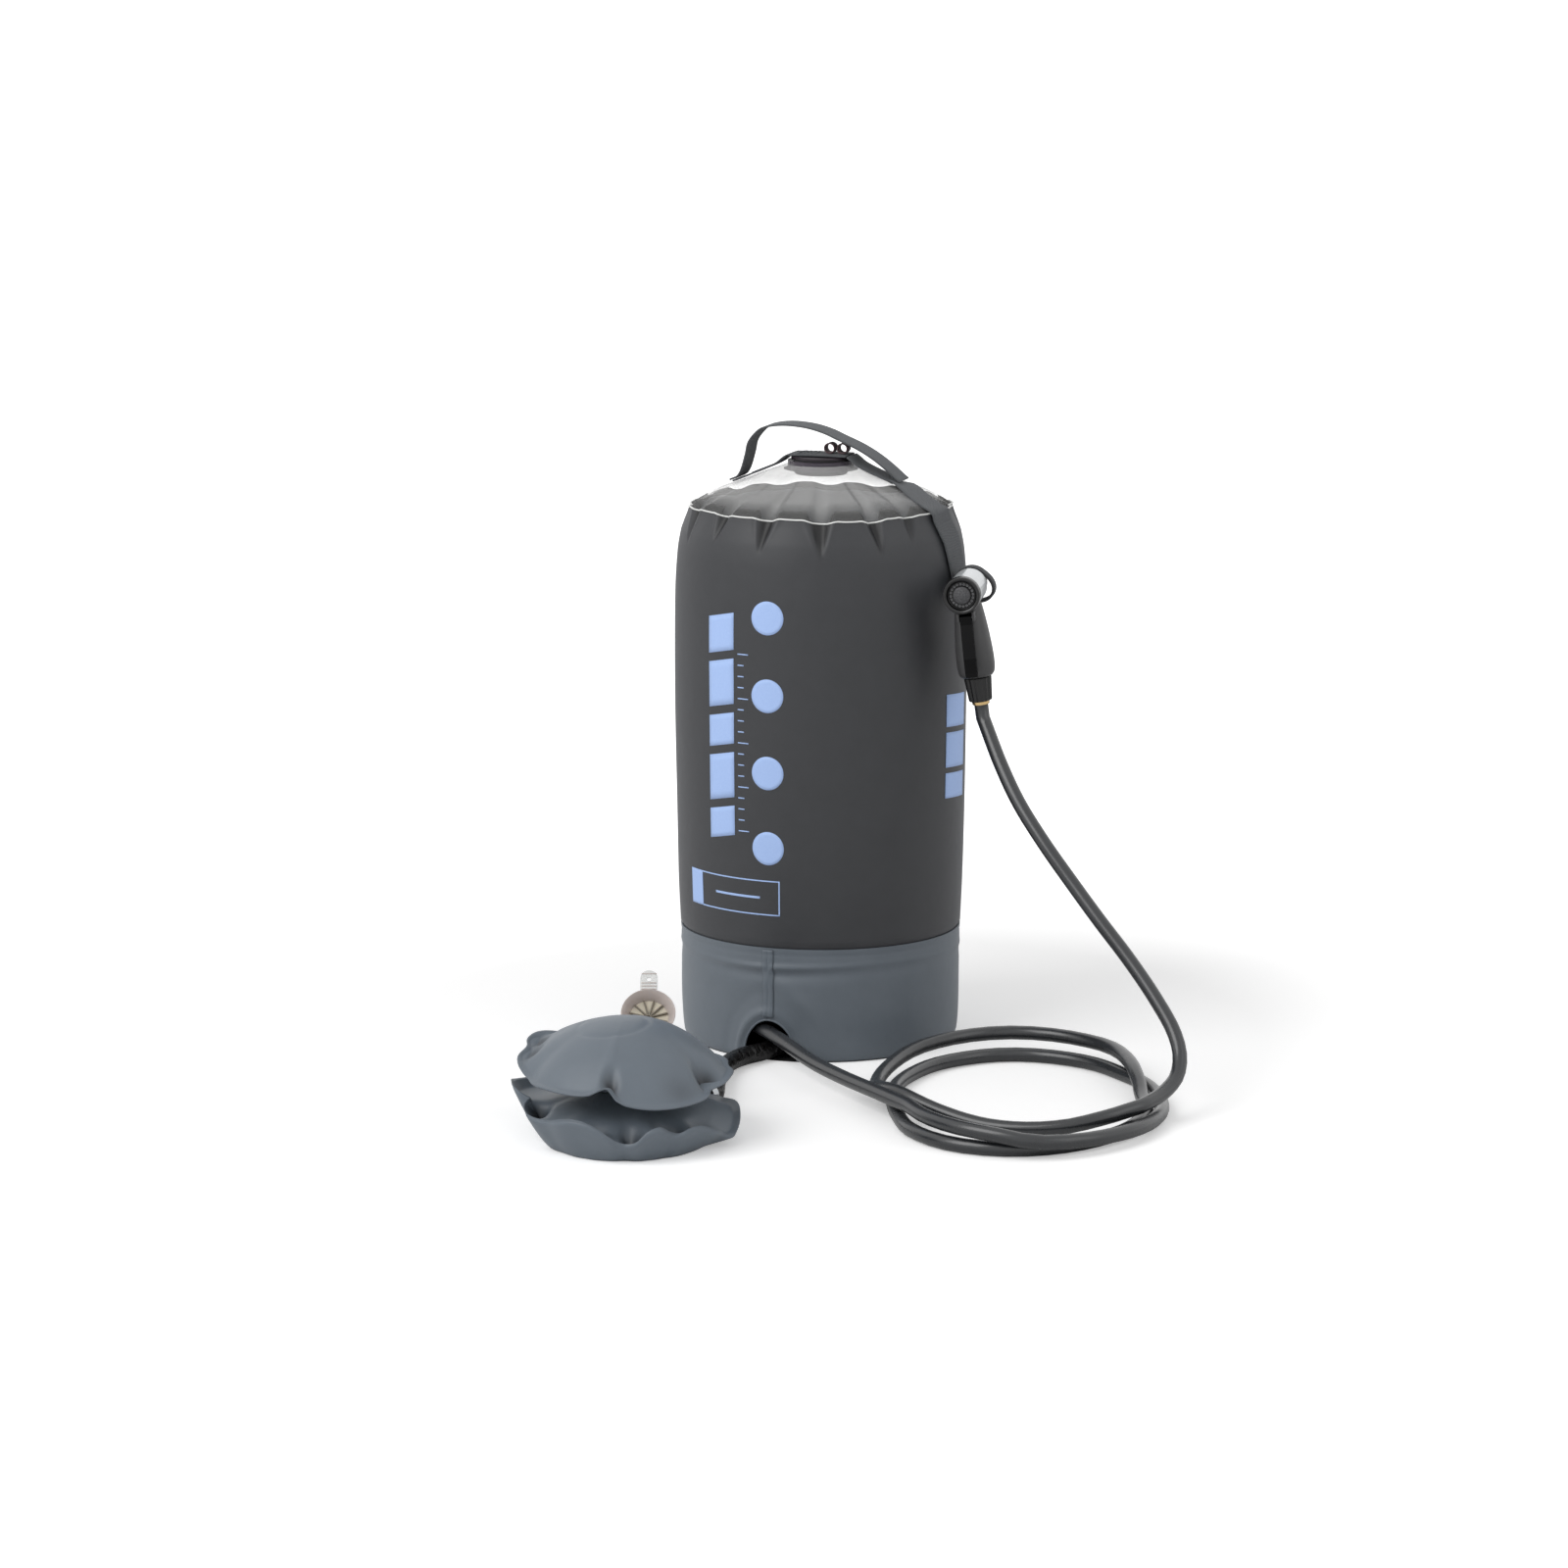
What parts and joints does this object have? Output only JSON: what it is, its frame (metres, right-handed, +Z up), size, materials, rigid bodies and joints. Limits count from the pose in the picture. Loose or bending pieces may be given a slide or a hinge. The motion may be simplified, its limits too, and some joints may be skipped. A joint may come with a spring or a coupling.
{
  "type": "portable pressure shower",
  "caption": "Soft upright water tank with a clear top, webbing handle, coiled hose with a hand shower, and a soft foot pump that pressurises it.",
  "frame": {"origin": "middle of the base of the box round the tank, hand shower and foot pump, on the ground", "axes": "+Z up, -Y toward the side with the foot pump and the hose arch, +X toward the hand shower"},
  "size_m": [0.4486, 0.4794, 0.4394],
  "materials": {
    "tank_fabric": "coated woven polyester",
    "skirt_fabric": "coated woven polyester",
    "weld_line": "welded seam",
    "clear_film": "clear soft vinyl film",
    "webbing": "woven webbing",
    "loop_tape": "woven tape",
    "black_plastic": "moulded",
    "seal_rubber": "moulded",
    "pump_fabric": "coated woven polyester, welded",
    "pump_foam": "open cell foam",
    "translucent_plastic": "soft moulded",
    "silver_barrel": "satin silver",
    "grip_plastic": "fine grained",
    "gloss_plastic_black": "polished",
    "brass": "turned",
    "steel": "drawn",
    "hose_vinyl": "satin extruded"
  },
  "bodies": {
    "tank": {"tank_wall": "tank_fabric", "tank_floor": "tank_fabric", "clear_top": "clear_film", "top_weld": "weld_line", "skirt": "skirt_fabric", "skirt_seam_strip": "skirt_fabric", "port_flange": "black_plastic", "base_strap_left": "webbing", "base_strap_right": "webbing", "handle_end_left": "webbing", "handle_end_right": "webbing", "side_strap": "webbing", "sling_loop": "webbing", "water_stem": "black_plastic", "water_nut": "black_plastic", "water_elbow": "black_plastic", "water_clamp": "steel", "air_stem": "black_plastic", "air_nut": "black_plastic", "air_elbow": "black_plastic", "air_clamp": "steel", "duckbill_valve": "seal_rubber", "hose_outlet": "hose_vinyl", "hose_coil": "hose_vinyl", "hose_riser": "hose_vinyl", "lower_pillow": "pump_fabric", "pump_neck": "pump_fabric", "lower_foam": "pump_foam", "air_hose": "seal_rubber", "pump_clamp": "steel"},
    "plug": {"fill_plug": "black_plastic", "plug_seal": "seal_rubber", "plug_strap": "webbing", "pull_loop_left": "loop_tape", "pull_loop_right": "loop_tape"},
    "handle": {"handle_strap": "webbing"},
    "handset": {"bezel": "black_plastic", "spray_plate": "black_plastic", "barrel_sleeve": "silver_barrel", "barrel_core": "black_plastic", "rear_cap": "black_plastic", "grip": "grip_plastic", "trigger_pin": "steel", "plunger_spring": "steel", "hose_tail": "black_plastic", "brass_ring": "brass"},
    "trigger_lever": {"trigger": "gloss_plastic_black"},
    "plunger": {"valve_plunger": "brass"},
    "collar": {"collar_nut": "black_plastic"},
    "pump_top": {"upper_pillow": "pump_fabric", "upper_foam": "pump_foam", "valve_seat": "translucent_plastic", "valve_grid": "translucent_plastic", "valve_flap": "seal_rubber", "cap_tether": "translucent_plastic"},
    "intake_cap": {"valve_cap": "translucent_plastic"}
  },
  "joints": [
    {"name": "fill_plug_lift", "type": "slide", "parent": "tank", "child": "plug", "axis": [0, 0, 1], "range_m": [0, 0.016], "deforming": ["handle_strap"]},
    {"name": "handle_swing", "type": "hinge", "parent": "tank", "child": "handle", "pos_m": [0.0405, 0.1362, 0.4], "axis": [0.9613, -0.2756, 0], "range_deg": [-50, 50], "deforming": ["handle_end_left", "handle_end_right"]},
    {"name": "handset_pull", "type": "slide", "parent": "tank", "child": "handset", "axis": [-0.1786, -0.9831, -0.0398], "range_m": [0, 0.035], "deforming": ["hose_riser", "sling_loop"]},
    {"name": "trigger_press", "type": "hinge", "parent": "handset", "child": "trigger_lever", "pos_m": [0.14068, 0.04383, 0.31565], "axis": [0.9745, -0.1824, 0.1305], "range_deg": [0, 6.3], "stiffness_Nm_per_rad": 0.6},
    {"name": "plunger_push", "type": "slide", "parent": "handset", "child": "plunger", "axis": [0.1786, 0.9831, 0.0398], "range_m": [0, 0.0025], "deforming": ["plunger_spring"]},
    {"name": "collar_nut_turn", "type": "hinge", "parent": "handset", "child": "collar", "pos_m": [0.15047, 0.0589, 0.26363], "axis": [-0.1356, -0.0155, 0.9906], "continuous": true},
    {"name": "pump_press", "type": "slide", "parent": "tank", "child": "pump_top", "axis": [0, 0, -1], "range_m": [0, 0.024], "stiffness_N_per_m": 1500, "deforming": ["lower_pillow", "pump_neck", "lower_foam", "upper_pillow", "upper_foam"]},
    {"name": "intake_cap_close", "type": "hinge", "parent": "pump_top", "child": "intake_cap", "pos_m": [-0.0757, -0.09253, 0.0497], "axis": [1, 0, 0], "range_deg": [0, 102.9]}
  ],
  "couplings": [
    {"joint": "plunger_push", "follows": "trigger_press", "m_per_rad": 0.0215}
  ]
}
